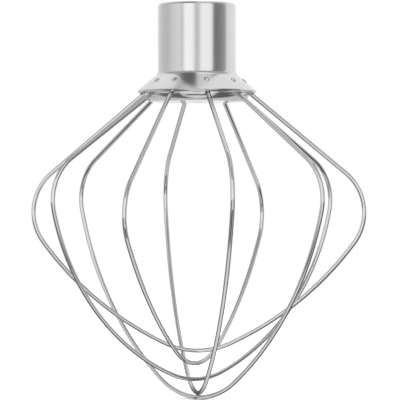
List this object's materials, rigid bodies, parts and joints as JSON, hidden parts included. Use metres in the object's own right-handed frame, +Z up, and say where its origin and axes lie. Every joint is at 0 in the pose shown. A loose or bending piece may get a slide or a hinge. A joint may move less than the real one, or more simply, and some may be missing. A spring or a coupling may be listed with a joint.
{
  "type": "stand mixer wire whip",
  "caption": "Bayonet-fit wire whip for a planetary stand mixer: flared steel hub, retainer dish and a cage of crossing wire loops.",
  "frame": {"origin": "centre of the hub's top face, at the mouth of the drive bore", "axes": "+Z up along the hub's axis and out of the drive bore; the cage hangs towards -Z; +X runs through the middle of the entry slot for the shaft's cross pin"},
  "size_m": [0.1396, 0.1392, 0.165],
  "materials": {
    "shell_steel": "satin stainless steel, brushed lightly round the barrel",
    "core_aluminium": "turned aluminium, satin",
    "seat_plastic": "plain moulded nylon, hidden inside the hub",
    "dish_steel": "polished stainless steel",
    "rivet_steel": "plain stainless steel, set flush",
    "wire_steel": "electropolished stainless steel wire"
  },
  "bodies": {
    "root": {"hub_shell": "shell_steel", "drive_core": "core_aluminium", "wire_seat": "seat_plastic", "wire_retainer": "dish_steel", "retainer_rivet": "rivet_steel", "wire_loop_1": "wire_steel", "wire_loop_2": "wire_steel", "wire_loop_3": "wire_steel", "wire_loop_4": "wire_steel", "wire_loop_5": "wire_steel"}
  },
  "joints": []
}
